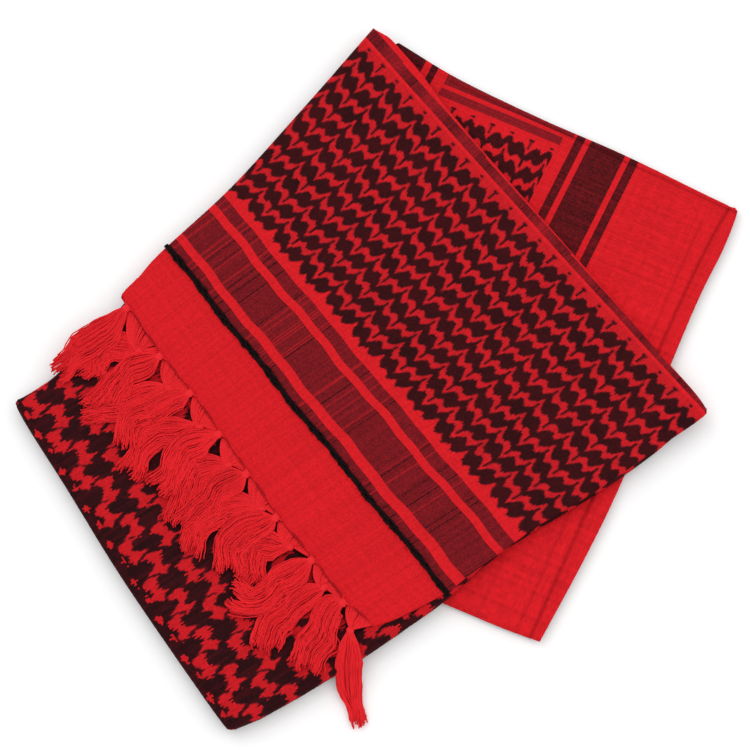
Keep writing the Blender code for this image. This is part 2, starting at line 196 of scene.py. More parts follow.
# Width, mid height and thickness of a tassel at its knot, a bit past it, and at the next points.
EDGE_PROFILE = [(2.8, 11.7, 0.9), (8.5, 11.8, 1.2), (14.5, 11.6, 1.2), (16.5, 11.3, 1.2),
                (16.5, 11.1, 1.1)]
NET_PROFILE = [(2.6, 11.0, 0.8), (8, 11.0, 1.0), (14, 10.6, 1.0), (16, 10.4, 1.1),
               (15.5, 10.3, 1.0)]
HANGING_PROFILE = [(2.6, 11.0, 0.8), (10, 11.2, 1.0), (13, 10.6, 0.9), (12, 4.9, 1.2),
                   (10, 3.0, 1.1), (8.5, 1.7, 0.8)]
EDGE_KNOT_SIZE = (2.5, 2.2, 1.5)  # half length, half width and half height
NET_KNOT_SIZE = (2.3, 2.0, 1.4)
YARNS = 125  # in one tassel
YARN_RADIUS = 0.42
ROOT_LEVEL = 10.15  # where the yarns leave the cloth
# Ways in the plan: from the cloth to the fringe, and along the fringed edge to the front.
AWAY = np.array([-0.81, -0.59])
EDGEWISE = np.array([0.59, -0.81])


def linear(code):
    """The linear colour of an sRGB hex code."""
    parts = np.array([int(code[k:k + 2], 16) for k in (0, 2, 4)]) / 255
    low = parts / 12.92
    high = ((parts + 0.055) / 1.055) ** 2.4
    return (*np.where(parts <= 0.04045, low, high), 1.0)


def node(tree, kind, settings=None, values=None, links=None):
    """Adds a node: settings are its own, values go to its sockets and links come from others."""
    made = tree.nodes.new(kind)
    for name, value in (settings or {}).items():
        setattr(made, name, value)
    for name, value in (values or {}).items():
        made.inputs[name].default_value = value
    for name, source in (links or {}).items():
        tree.links.new(source, made.inputs[name])
    return made


def cotton_material(name, reds):
    """Woven cotton: red warp, nearly black weft, and a maroon where the two mix.

    The dye value of a crossing chooses between the colours and its shade value varies them, so
    that threads of slightly different tone show as in real cloth. On the end and side stretches
    the shade value also carries painted shade: shadow lines in creases and in the groove along
    the fringed edge. A fine bump stands for the threads: the bands repeat after 0.314 / scale,
    so that there is one ridge a thread.
    """
    made = bpy.data.materials.new(name)
    made.use_nodes = True
    tree = made.node_tree
    shader = tree.nodes["Principled BSDF"]
    dye = node(tree, "ShaderNodeAttribute", {"attribute_name": "dye"})
    shade = node(tree, "ShaderNodeAttribute", {"attribute_name": "shade"})
    ramp = node(tree, "ShaderNodeValToRGB", links={"Fac": dye.outputs["Fac"]})
    stops = ramp.color_ramp.elements
    stops[0].position = 0.0
    stops[0].color = linear(reds[0])
    stops[1].position = 1.0
    stops[1].color = linear(reds[2])
    middle = stops.new(0.55)
    middle.color = linear(reds[1])
    toned = node(tree, "ShaderNodeVectorMath", {"operation": "SCALE"},
                 links={0: ramp.outputs["Color"], "Scale": shade.outputs["Fac"]})
    tree.links.new(toned.outputs["Vector"], shader.inputs["Base Color"])
    place = node(tree, "ShaderNodeUVMap", {"uv_map": "threads"})
    ridges = []
    for direction in ("X", "Y"):
        ridges.append(node(tree, "ShaderNodeTexWave",
                           {"wave_type": "BANDS", "bands_direction": direction},
                           {"Scale": 0.314, "Distortion": 1.2, "Detail": 1.0,
                            "Detail Scale": 0.6}, {"Vector": place.outputs["UV"]}))
    both = node(tree, "ShaderNodeMath", {"operation": "ADD"},
                links={0: ridges[0].outputs["Fac"], 1: ridges[1].outputs["Fac"]})
    bump = node(tree, "ShaderNodeBump", values={"Strength": 0.35, "Distance": 0.0003},
                links={"Height": both.outputs["Value"]})
    tree.links.new(bump.outputs["Normal"], shader.inputs["Normal"])
    shader.inputs["Roughness"].default_value = 0.85
    shader.inputs["Specular IOR Level"].default_value = 0.08
    return made


def yarn_material(name, colour):
    """Loosely spun cotton yarn: soft and matt, each strand a little lighter or darker."""
    made = bpy.data.materials.new(name)
    made.use_nodes = True
    tree = made.node_tree
    shader = tree.nodes["Principled BSDF"]
    shade = node(tree, "ShaderNodeAttribute", {"attribute_name": "shade"})
    base = node(tree, "ShaderNodeRGB")
    base.outputs["Color"].default_value = linear(colour)
    toned = node(tree, "ShaderNodeVectorMath", {"operation": "SCALE"},
                 links={0: base.outputs["Color"], "Scale": shade.outputs["Fac"]})
    tree.links.new(toned.outputs["Vector"], shader.inputs["Base Color"])
    shader.inputs["Roughness"].default_value = 0.8
    shader.inputs["Specular IOR Level"].default_value = 0.12
    return made


def plain_material(name, colour, roughness):
    """A matt surface of one colour, as of a pale laminate table."""
    made = bpy.data.materials.new(name)
    made.use_nodes = True
    shader = made.node_tree.nodes["Principled BSDF"]
    shader.inputs["Base Color"].default_value = linear(colour)
    shader.inputs["Roughness"].default_value = roughness
    shader.inputs["Specular IOR Level"].default_value = 0.1
    return made


def add_mesh(name, points, groups, finish, uv=None, **values):
    """An object from points in millimetres and arrays of faces, with face values by name."""
    mesh = bpy.data.meshes.new(name)
    mesh.vertices.add(len(points))
    mesh.vertices.foreach_set("co", ((points - (*PLAN_CENTRE, 0.0)) * MM).ravel())
    corners = np.concatenate([faces.ravel() for faces in groups]).astype(np.int32)
    sizes = np.concatenate([np.full(len(faces), faces.shape[1]) for faces in groups])
    mesh.loops.add(len(corners))
    mesh.loops.foreach_set("vertex_index", corners)
    mesh.polygons.add(len(sizes))
    mesh.polygons.foreach_set("loop_start", np.concatenate([[0], np.cumsum(sizes)[:-1]]))
    mesh.update(calc_edges=True)
    mesh.polygons.foreach_set("use_smooth", np.ones(len(sizes), bool))
    if uv is not None:
        layer = mesh.uv_layers.new(name="threads")
        layer.data.foreach_set("uv", uv[corners].ravel())
    for title, value in values.items():
        made = mesh.attributes.new(title, "FLOAT", "FACE")
        made.data.foreach_set("value", np.asarray(value, np.float32))
    mesh.materials.append(finish)
    thing = bpy.data.objects.new(name, mesh)
    bpy.context.scene.collection.objects.link(thing)
    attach(thing, "root")
    return thing


def smooth_curve(points, fractions):
    """A Catmull-Rom curve through the points, read at fractions of its length."""
    p = np.asarray(points, float)
    p = np.vstack([2 * p[0] - p[1], p, 2 * p[-1] - p[-2]])
    t = np.linspace(0, 1, 13)[:, None]
    runs = []
    for a, b, c, d in zip(p[:-3], p[1:-2], p[2:-1], p[3:]):
        runs.append(0.5 * (2 * b + (c - a) * t + (2 * a - 5 * b + 4 * c - d) * t**2
                           + (3 * b - a - 3 * c + d) * t**3))
    fine = np.vstack(runs)
    length = np.concatenate([[0], np.cumsum(np.linalg.norm(np.diff(fine, axis=0), axis=1))])
    wanted = np.asarray(fractions) * length[-1]
    return np.column_stack([np.interp(wanted, length, column) for column in fine.T])


def outline(sides, step=3.0):
    """Points round a stretch, and the edge radius and fall of the side that starts at each."""
    loop, radius, fall = [], [], []
    for edge, drop, points in sides:
        length = np.linalg.norm(np.diff(np.asarray(points, float), axis=0), axis=1).sum()
        count = max(2, round(length / step))
        loop.append(smooth_curve(points, np.arange(count) / count))
        radius += [edge] * count
        fall += [drop] * count
    return np.vstack(loop), np.array(radius), np.array(fall)


def nearest_edge(points, loop):
    """For each point: how far inside the loop it is, the nearest side, and the foot on it."""
    along = np.roll(loop, -1, axis=0) - loop
    square = (along**2).sum(axis=1)
    after = np.roll(loop, -1, axis=0)
    inside, side, foot = [], [], []
    for part in np.array_split(points, len(points) // 6000 + 1):
        away = part[:, None] - loop
        t = np.clip((away * along).sum(axis=2) / square, 0, 1)
        gap = away - t[..., None] * along
        near = (gap**2).sum(axis=2)
        chosen = near.argmin(axis=1)
        row = np.arange(len(part))
        x, y = part[:, :1], part[:, 1:]
        crosses = (loop[:, 1] > y) != (after[:, 1] > y)
        with np.errstate(divide="ignore", invalid="ignore"):
            at = loop[:, 0] + (y - loop[:, 1]) * along[:, 0] / along[:, 1]
        within = (crosses & (x < at)).sum(axis=1) % 2
        inside.append(np.sqrt(near[row, chosen]) * np.where(within, 1, -1))
        side.append(chosen)
        foot.append(loop[chosen] + t[row, chosen, None] * along[chosen])
    return np.concatenate(inside), np.concatenate(side), np.vstack(foot)


def turned_down(plan, height, sides):
    """Places of a shell's points: flat inside the outline, and over a round edge down past it.

    With d the distance inside the outline and r the edge's radius, a point with d under r has gone
    r - d over the edge. A quarter circle takes the first of that and a straight fall the rest.
    The last value is true for points at the bottom of the fall.
    """
    loop, radius, fall = outline(sides)
    inside, side, foot = nearest_edge(plan, loop)
    r, drop = radius[side], fall[side]
    over = np.where(r > 0, np.maximum(r - inside, 0), 0)
    safe = np.where(r > 0, r, 1.0)
    turn = np.minimum(over / safe, math.pi / 2)
    down = safe * (1 - np.cos(turn)) + np.maximum(over - safe * math.pi / 2, 0)
    moved = over > 0
    inward = (plan - foot) / np.where(inside == 0, 1, inside)[:, None]
    edge = foot + inward * (safe * (1 - np.sin(turn)))[:, None]
    place = np.where(moved[:, None], edge, plan)
    spent = (down >= drop) & (r > 0)
    down = np.where(moved, np.minimum(down, drop), 0)
    return np.column_stack([place, height - down]), spent


def grid_faces(across, along):
    """Quads of a grid whose points run along first. They face up if along turns left to across."""
    number = np.arange(across * along).reshape(across, along)
    return np.stack([number[:-1, :-1], number[:-1, 1:], number[1:, 1:], number[1:, :-1]],
                    axis=-1).reshape(-1, 4)


def bell(x, width):
    """A soft hump or groove: one where x is zero, and next to nothing past twice the width."""
    return np.exp(-((x / width) ** 2))


def speckle(first, second, seed):
    """A steady random number from 0 to 1 for each pair of whole numbers: the fraction of a sine."""
    value = np.sin(first * 127.1 + second * 311.7 + seed * 74.7) * 43758.5453
    return value - np.floor(value)


def soft_noise(x, y, seed):
    """Slow uneven waves from -1 to 1: a sum of sines in turned directions."""
    total = np.zeros_like(x)
    for k in range(5):
        angle = 2.4 * k + seed
        total = total + np.sin((x * math.cos(angle) + y * math.sin(angle)) * (1 + 0.37 * k)
                               + 1.7 * k * seed)
    return total / 5


def ovals(number, row, column):
    """Where the ovals pattern is dark: between its red lines, rows -7.5 to 1.5.

    Each red line points up at one oval and down at the next. The lines' edges are read from the
    table and made ragged by the column of threads. Small T marks stand beyond the first line: a
    stem, and a bar across its end.
    """
    a = np.abs((number - 7.52 + 1) % 2 - 1)
    table = np.array(OVAL_LINE).T
    ragged = (speckle(column, np.floor(row), 1) - 0.5) * 0.08
    upper = np.interp(a, table[0], table[1]) + ragged
    lower = np.interp(a, table[0], table[2]) + ragged
    dark = np.ones(a.shape, bool)
    for line in np.arange(FIRST_LINE, 2.0, LINE_STEP):
        dark &= ~((row - line > upper + 0.02) & (row - line < lower - 0.02))
    dark &= row - FIRST_LINE > np.maximum(lower, 0.03)
    dark &= row - 1.41 < np.minimum(upper, 0.0)
    stem = (a > 0.95) & (row > -7.72) & (row < -7.2)
    bar = (row > -7.72) & (row < -7.62) & ((a > 0.87) | (a < 0.09))
    return dark | stem | bar


def shares(pattern, x, y, size):
    """How much of each crossing a pattern covers, from nine places in it."""
    total = np.zeros(x.shape)
    for i in (-1, 0, 1):
        for j in (-1, 0, 1):
            total += pattern(x + i * size[0] / 3, y + j * size[1] / 3)
    return total / 9


def in_figure(x, y, corners):
    """Whether points lie in a polygon: how often a ray from each crosses its sides."""
    inside = np.zeros(x.shape, bool)
    for (x0, y0), (x1, y1) in zip(corners, corners[1:] + corners[:1]):
        if y0 != y1:
            inside ^= ((y0 > y) != (y1 > y)) & (x < x0 + (y - y0) * (x1 - x0) / (y1 - y0))
    return inside


def large_check(u, v, column):
    """Where the large check is dark: round the red figures, which lean by turns left and right.

    Each row of figures is shifted by a half repeat, and their edges are frayed along the columns.
    """
    nearest = np.round((v - CHECK_FIRST_ROW) / CHECK_ROW)
    red = np.zeros(u.shape, bool)
    for step in (-1, 0, 1):
        row = nearest + step
        odd = row % 2
        middle = 100.8 + row * (CHECK_ALONG / 2 + 0.6)
        x = (u - middle + CHECK_ALONG / 2) % CHECK_ALONG - CHECK_ALONG / 2
        ragged = 2.6 * (speckle(column, row, 3) ** 2 - 0.35)
        ragged += 1.6 * (speckle(np.floor(column / 3), row, 4) - 0.5)
        y = (v - CHECK_FIRST_ROW - row * CHECK_ROW + odd * 1.1 + ragged) * (1 - 2 * odd) / 1.1
        red |= in_figure(x, y, CHECK_FIGURE)
    return ~red


def mixed(column, row, middle):
    """The dye of a maroon band about a middle value: red and dark threads cross in fine streaks."""
    streak = speckle(column, 0, 5) - 0.5
    cross = np.where((column + row) % 2 < 1, 0.05, -0.05)
    return middle + 0.11 * streak + cross + 0.16 * (speckle(column, row, 6) - 0.5)


def thread_shade(column, row, seed):
    """Lightness of crossings: some from the warp thread, some from the weft, some from each."""
    warp = speckle(column, 0, seed) - 0.5
    weft = speckle(0, row, seed + 1) - 0.5
    return 1 + 0.14 * warp + 0.09 * weft + 0.20 * (speckle(column, row, seed + 2) - 0.5)


def shell(name, plan, height, counts, sides, uv, finish, dye, shade):
    """A stretch of cloth from its grid. Faces wholly at the bottom of a fall are left out."""
    points, spent = turned_down(plan, height, sides)
    faces = grid_faces(*counts)
    kept = ~spent[faces].all(axis=1)
    faces = faces[kept]
    used = np.unique(faces)
    renumber = np.zeros(len(points), int)
    renumber[used] = np.arange(len(used))
    return add_mesh(name, points[used], [renumber[faces]], finish, uv=uv[used],
                    dye=dye[kept], shade=shade[kept])


def steps(*ranges):
    """Values from several ranges of start, end and step, in one row."""
    parts = [np.arange(start, end, step) for start, end, step in ranges]
    return np.concatenate([*parts, [ranges[-1][1]]])


def end_plan(number, w):
    """Where the end stretch lies, from the oval number along it and the distance from the fringe.

    Lines at one distance are straight between the two ends in the table and bow a little, and
    the fringed edge runs through its knots.
    """
    table_w = np.array([0.0] + [row[0] for row in END_ROWS])
    k = np.clip(np.searchsorted(table_w, w, side="right") - 1, 0, len(table_w) - 2)
    knots = np.asarray(EDGE_KNOTS, float)
    numbers = np.asarray(KNOT_NUMBERS)
    edge = np.column_stack([np.interp(number, numbers, column) for column in knots.T])
    before = np.minimum(number - numbers[0], 0)[:, None]
    beyond = np.maximum(number - numbers[-1], 0)[:, None]
    edge += before * (knots[1] - knots[0]) / (numbers[1] - numbers[0])
    edge += beyond * (knots[-1] - knots[-2]) / (numbers[-1] - numbers[-2])
    share = ((number + 6) / 26)[:, None]
    starts = np.array([row[1] for row in END_ROWS], float)
    ends = np.array([row[2] for row in END_ROWS], float)
    bow = 4 * share * (1 - share)

    def line(index):
        found = starts[index] + (ends[index] - starts[index]) * share
        return found + bow * (-0.8, -0.6)

    low = np.where((k == 0)[:, None], edge, line(np.maximum(k - 1, 0)))
    high = line(k)
    t = ((w - table_w[k]) / (table_w[k + 1] - table_w[k]))[:, None]
    return low + (high - low) * t


def end_dye(at, deep, column, row):
    """The dye of the end stretch: bands, the thick dark weft, and the ovals."""
    dye = np.zeros(len(at))
    for first, last in END_BANDS:
        dye = np.where((deep > first) & (deep < last), mixed(column, row, 0.66), dye)
    # The hatched strip along the fold gets narrower to the front.
    hatched = mixed(column, row, 0.62) + 0.22 * np.sin(at * 2.4) * speckle(column, 0, 9)
    dye = np.where((deep > 203.4) & (deep < 210 - 0.14 * (at + 6)), hatched, dye)
    # Some columns of the bands are redder, more of them near oval 6, and a few are darker.
    odd = speckle(column, 0, 8)
    band = (deep > END_BANDS[0][0]) & (deep < END_BANDS[-1][1]) & (dye > 0)
    often = 0.03 + 0.06 * bell(at - 6, 5)
    dye = np.where(band & (odd > 1 - often), dye * 0.62, dye)
    dye = np.where(band & (odd < 0.03), dye * 1.3, dye)
    dye = np.where((deep > CORD_FROM) & (deep < CORD_TO), 1.0, dye)
    # The ovals vary a little in tone. The red between them has some dark in it.
    tone = 0.05 * (0.5 + 0.5 * soft_noise(at * 1.3, deep / 9, 5.0)) + 0.04 * speckle(column, row, 2)
    dark = shares(lambda x, y: ovals(x, y, column), at, 1 + (95 - deep) / OVAL_ACROSS,
                  (THREAD / OVAL_ALONG, THREAD / OVAL_ACROSS))
    reddish = np.where((deep > 99) | (dark > 0), 0.14, 0.0)
    in_ovals = (deep > 89) & (deep < 202)
    return np.where(in_ovals, dark * (1.0 - tone) + (1 - dark) * reddish, dye)


def end_shell(finish):
    """The fringed end, on top: plain red border, bands, then ovals up to the fold.

    The bands waver by two sines. The fringed edge is drawn in between its knots, and lies lower
    there, by the root of the distance to the nearest knot.
    """
    along = np.arange(-7.3, 19.6, THREAD / OVAL_ALONG)
    across = np.arange(0.0, 214.0, THREAD)
    number, w = [g.ravel() for g in np.meshgrid(along, across)]
    waver = 0.45 * np.sin(number * 1.1) + 0.3 * np.sin(number * 2.9 + 1)
    plan = end_plan(number, w - waver * np.exp(-((w - 66) / 24) ** 4))
    nearest = np.abs(number[:, None] - np.asarray(KNOT_NUMBERS)).min(axis=1)
    scallop = np.clip(nearest / 1.3, 0, 1) ** 0.5
    near_edge = np.exp(-w / 5)
    plan += (near_edge * 0.5 * scallop)[:, None] * (0.81, 0.59)
    height = END_TOP + 0.35 * soft_noise(number * 0.9, w / 24, 1.3) * (1 - near_edge)
    height -= near_edge * (0.8 * (1 - scallop) - 0.1)
    column, row = [g.ravel() for g in np.meshgrid(np.arange(len(along) - 1),
                                                  np.arange(len(across) - 1))]
    at = along[column] + THREAD / OVAL_ALONG / 2
    deep = across[row] + THREAD / 2
    # Painted shadow: the woven edge is darker between the knots, in the groove where it is drawn
    # in.
    shade = thread_shade(column, row, 11)
    gathered = np.clip(np.abs(at[:, None] - np.asarray(KNOT_NUMBERS)).min(axis=1) / 0.6, 0, 1)
    shade = np.where(deep < 1.3 + 0.5 * np.sin(at * 4.1), shade * (1 - 0.42 * gathered), shade)
    uv = np.column_stack([number * OVAL_ALONG / THREAD, w / THREAD])
    return shell("end_cloth", plan, height, (len(across), len(along)), END_SIDES, uv, finish,
                 end_dye(at, deep, column, row), shade)


def middle_dye(at, deep, column, row):
    """The dye of the middle stretch: the large check, and small red spots by the left fold."""
    dark = shares(lambda x, y: large_check(x, y, column), at, deep, (THREAD, THREAD))
    beside = np.abs((at - 116 + CHECK_ALONG / 2) % CHECK_ALONG - CHECK_ALONG / 2)
    between = np.abs((at - 116) % CHECK_ALONG - CHECK_ALONG / 2)
    fray = 2.2 * speckle(column, 0, 9) + 2.0 * speckle(column // 4, row // 2, 10)
    spot = beside + np.abs(deep - 1.4) * 1.6 + fray < 5.2
    spot |= between + np.abs(deep - 2.8) * 1.3 + fray < 4.2
    dark = np.where(deep < CHECK_FOLD, ~spot, dark)
    tone = 0.12 * speckle(column // 2, row // 12, 4) ** 2 + 0.05 * speckle(column, row, 7)
    return dark * (1.0 - tone) + (1 - dark) * 0.10


def middle_shell(finish):
    """The middle of the cloth with the large check.

    Height: slow waves, a crease beside the left fold, and half a ring of a crease by the front.
    """
    down = steps((-10, 222, THREAD))
    out = steps((-9, 100, THREAD), (100, 306, 1.6))
    u, v = [g.ravel() for g in np.meshgrid(down, out, indexing="ij")]
    plan = np.asarray(CHECK_ORIGIN) + np.outer(u, CHECK_AXES[0]) + np.outer(v, CHECK_AXES[1])
    height = MIDDLE_TOP + 0.3 * soft_noise(u / 26, v / 30, 2.1) - 0.7 * bell(v - CHECK_FOLD, 0.8)
    swirl = np.hypot(u - 190, v - 19) - 9
    height -= 0.9 * bell(swirl, 1.1) / (1 + np.exp((v - 19) / 1.5))
    column, row = [g.ravel() for g in np.meshgrid(np.arange(len(down) - 1),
                                                  np.arange(len(out) - 1), indexing="ij")]
    at, deep = down[column] + THREAD / 2, out[row] + 0.5 * np.diff(out)[row]
    uv = np.column_stack([u, v]) / THREAD
    return shell("middle_cloth", plan, height, (len(down), len(out)), MIDDLE_SIDES, uv, finish,
                 middle_dye(at, deep, column, row), thread_shade(column, row, 21))


def hem_line(p):
    """How far in from the edge the turned hem ends: less by the corner, where it was pulled."""
    return 2 + 4 * (1 - np.exp(-np.maximum(p, 0) / 25))


def from_crease(p, q):
    """How far a point lies from the crease of the second fold, which runs by the back edge."""
    return p + 1.5 - 0.04 * (100 - q)


def side_dye(at, deep, column, row):
    """The dye of the side stretch: three bands, two more beside the back fold, then ovals."""
    dye = np.zeros(len(at))
    for first, last in SIDE_BANDS:
        dye = np.where((deep > first) & (deep < last), mixed(column, row, 0.82), dye)
    for first, last, start in FOLD_BANDS:
        inside = (deep > start) & (deep < 178) & (at > first) & (at < last)
        dye = np.where(inside, mixed(column, row, 0.55), dye)
    dye = np.where((deep > 184.6) & (deep < 188.6) | (deep > 192.8), mixed(column, row, 0.88), dye)
    dark = shares(lambda x, y: ovals(x, y, row), 8 + (deep - 112) / SIDE_OVAL_IN,
                  (at - 18.3) / SIDE_OVAL_ALONG - 7,
                  (THREAD / SIDE_OVAL_IN, THREAD / SIDE_OVAL_ALONG))
    inside = (deep > 104) & (deep < 180) & (at > 8)
    return np.where(inside, dark * (0.97 - 0.06 * speckle(column, row, 6)), dye)


def side_shade(at, deep, column, row):
    """Lightness of the side stretch, with painted shade: its creases show as thin lines of
    painted shadow.

    They are the hem's, the second fold's by the back edge, and a faint one further in from the
    hem. A painted highlight makes the cloth a little lighter between the two that run along the
    hem.
    """
    shade = thread_shade(column, row, 31)
    # Painted shadow in the hem's crease and in the crease of the second fold.
    shade *= 1 - 0.38 * bell(deep - hem_line(at) - 0.6, 0.9) * (at > 1)
    shade *= 1 - 0.32 * bell(from_crease(at, deep), 0.8) * (deep < 176)
    # A faint painted shadow in the crease further in, and a painted highlight between the hem's two
    # creases.
    inner = 0.16 * bell(deep - 13.4, 1.2) - 0.06 * (np.abs(deep - 9.5) < 3)
    return shade * (1 - inner * (at > 14))


def side_shell(finish):
    """The stretch that ends in the hemmed side: plain border, three bands, then ovals.

    Height: slow waves, a smooth step up at the hem with a crease beside it, and the crease of
    the second fold.
    """
    down = steps((-24, 70, THREAD), (70, 274, 2.2))
    inward = steps((-4, 20, 0.8), (20, 56, 2.0), (56, 226, THREAD))
    p, q = [g.ravel() for g in np.meshgrid(down, inward, indexing="ij")]
    lean = 0.03 * p * np.clip(q / 60, 0, 1)
    plan = np.asarray(HEM_CORNER) + np.outer(p, HEM_AXES[0]) + np.outer(q + lean, HEM_AXES[1])
    beyond = q - hem_line(p)
    height = SIDE_TOP + 0.3 * soft_noise(p / 30, q / 26, 3.4)
    height += 0.6 / (1 + np.exp(beyond / 0.5)) - 0.5 * bell(beyond - 0.6, 0.8)
    height -= 0.7 * bell(from_crease(p, q), 0.8)
    column, row = [g.ravel() for g in np.meshgrid(np.arange(len(down) - 1),
                                                  np.arange(len(inward) - 1), indexing="ij")]
    at = down[column] + 0.5 * np.diff(down)[column]
    deep = inward[row] + 0.5 * np.diff(inward)[row]
    uv = np.column_stack([p, q]) / THREAD
    return shell("side_cloth", plan, height, (len(down), len(inward)), SIDE_SIDES, uv, finish,
                 side_dye(at, deep, column, row), side_shade(at, deep, column, row))


def layered_block(corners, low, high, folds, middle, inset):
    """Points and faces of hidden layers: bulging folds above each other round a loop of corners.

    The rim's inset is one minus the root of a sine that has a hump for each fold.
    """
    count = 360
    closed = np.asarray([*corners, corners[0]], float)
    length = np.concatenate([[0], np.cumsum(np.linalg.norm(np.diff(closed, axis=0), axis=1))])
    wanted = np.arange(count) / count * length[-1]
    loop = np.column_stack([np.interp(wanted, length, column) for column in closed.T])
    z = np.linspace(low, high, folds * 8 + 1)
    hump = np.abs(np.sin(math.pi * folds * (z - low) / (high - low))) ** 0.5
    inward = np.asarray(middle) - loop
    inward /= np.linalg.norm(inward, axis=1)[:, None]
    rings = [np.column_stack([loop + inward * (inset + 1.3 * (1 - h)), np.full(count, level)])
             for level, h in zip(z, hump)]
    points = np.vstack([*rings, [(*middle, low), (*middle, high)]])
    i = np.arange(count)
    j = (i + 1) % count
    quads = np.vstack([np.column_stack([k * count + j, k * count + i, (k + 1) * count + i,
                                        (k + 1) * count + j]) for k in range(len(z) - 1)])
    last = (len(z) - 1) * count
    caps = np.vstack([np.column_stack([i, j, np.full(count, len(points) - 2)]),
                      np.column_stack([last + j, last + i, np.full(count, len(points) - 1)])])
    return points, quads, caps


def hidden_layers(finish):
    """The folded layers below the stretches that show."""
    first = layered_block(FLOOR_STACK, low=0.0, high=5.4, folds=4, middle=(-85, -20), inset=0.5)
    second = layered_block(UPPER_STACK, low=5.0, high=7.5, folds=2, middle=(-30, -20), inset=1.9)
    third = layered_block(SIDE_STACK, low=0.0, high=2.6, folds=2, middle=(80, 30), inset=0.5)
    points = np.vstack([first[0], second[0], third[0]])
    up = len(first[0])
    out = up + len(second[0])
    quads = np.vstack([first[1], second[1] + up, third[1] + out])
    caps = np.vstack([first[2], second[2] + up, third[2] + out])
    count = len(quads) + len(caps)
    return add_mesh("folded_cloth", points, [quads, caps], finish, dye=np.full(count, 0.9),
                    shade=np.ones(count), uv=points[:, :2] / THREAD)


def strands(paths, radius):
    """Points and faces of thin three-sided tubes, one along each path, closed at both ends."""
    count, stations, _ = paths.shape
    tangent = np.gradient(paths, axis=1)
    tangent /= np.linalg.norm(tangent, axis=2, keepdims=True) + 1e-9
    side = np.cross(tangent, (0.02, 0.01, 1.0))
    side /= np.linalg.norm(side, axis=2, keepdims=True) + 1e-9
    over = np.cross(side, tangent)
    thick = np.broadcast_to(radius, (count, stations))[..., None]
    corners = []
    for angle in (math.pi / 2, math.pi * 7 / 6, math.pi * 11 / 6):
        corners.append(paths + thick * (math.cos(angle) * side + math.sin(angle) * over))
    points = np.stack(corners, axis=2)
    number = np.arange(count * stations * 3).reshape(count, stations, 3)
    turned = np.roll(number, -1, axis=2)
    quads = np.stack([number[:, :-1], number[:, 1:], turned[:, 1:], turned[:, :-1]], axis=-1)
    caps = np.vstack([number[:, 0], number[:, -1, ::-1]])
    return points.reshape(-1, 3), quads.reshape(-1, 4), caps


def tassel_paths(root, knot, way, profile, sway, count, seed):
    """Ways of a tassel's yarns: from the root line at the cloth to the knot, and on along its way.

    Up to the knot the yarns run from their places on the root line and bulge a little. Past it
    they keep their places across the way, whose width, height and thickness at each point the
    profile gives. They wave together by the sway, each a little apart, and curl at the tips.
    """
    rng = np.random.default_rng(seed)
    place = np.linspace(-1, 1, count) + rng.normal(0, 0.05, count)
    layer = rng.uniform(-1, 1, count) * np.sqrt(1 - 0.7 * np.minimum(place**2, 1))
    stray = rng.random(count) < 0.05
    t = np.linspace(0, 1, 26)
    route = [knot, *way]
    line = smooth_curve(route, t)
    lengths = np.linalg.norm(np.diff(np.asarray(route, float), axis=0), axis=1)
    marks = np.concatenate([[0], np.cumsum(lengths)]) / lengths.sum()
    marks = np.insert(marks, 1, marks[1] * 0.4)
    widths, levels, thickness = np.array(profile, float).T
    reach = rng.uniform(0.88, 1.02, count) - 0.05 * np.cos(place * 5 + seed)
    along = t * reach[:, None]
    centre = np.stack([np.interp(along, t, column) for column in line.T], axis=-1)
    beyond = np.maximum(along - 1, 0)[..., None]
    centre = centre + beyond * (line[-1] - line[-3]) * 11
    heading = np.gradient(centre, axis=1)
    heading /= np.linalg.norm(heading, axis=2, keepdims=True) + 1e-9
    across = np.stack([heading[..., 1], -heading[..., 0]], axis=-1)
    phase = place[:, None] * 0.8 + rng.uniform(0, 0.7, (count, 1))
    wave = 1.6 * np.sin(8.2 * along + phase + 2.4 * seed) + 0.5 * np.sin(19 * along + 2 * phase)
    wave += 0.16 * np.sin(47 * along + 9 * place[:, None] + seed)
    curl = rng.normal(0, 1, (count, 1)) * along**4 * 1.1
    loose = sway * np.minimum(along * 2.2, 1) * np.where(stray, 1.9, 1.0)[:, None]
    sideways = place[:, None] * np.interp(along, marks, widths) / 2 + (wave + curl) * loose
    free = np.empty((count, len(t), 3))
    free[..., :2] = centre + sideways[..., None] * across
    bulk = np.interp(along, marks, thickness)
    free[..., 2] = np.interp(along, marks, levels) + layer[:, None] * bulk
    free[..., 2] += 0.3 * np.sin(12 * along + 3 * phase) * loose
    share = np.linspace(0, 1, 8)[:-1, None]
    first, last = np.asarray(root, float)
    beside = np.clip(place / 2 + 0.5, 0, 1)
    start = np.column_stack([first + np.outer(beside, last - first),
                             ROOT_LEVEL + 0.12 * layer])
    puff = 2 * share * (1 - share) * np.linalg.norm(last - first) / 26
    drawn = start[:, None] + (free[:, :1] - start[:, None]) * share
    drawn[..., :2] += puff * np.where(beside < 0.85, 6.5 * (1 - beside), 0.9)[:, None, None] * AWAY
    drawn[..., 2] += np.sin(math.pi * share[:, 0]) * (0.9 + 0.12 * layer[:, None])
    return np.concatenate([drawn, free], axis=1), rng.uniform(0.92, 1.12, count)


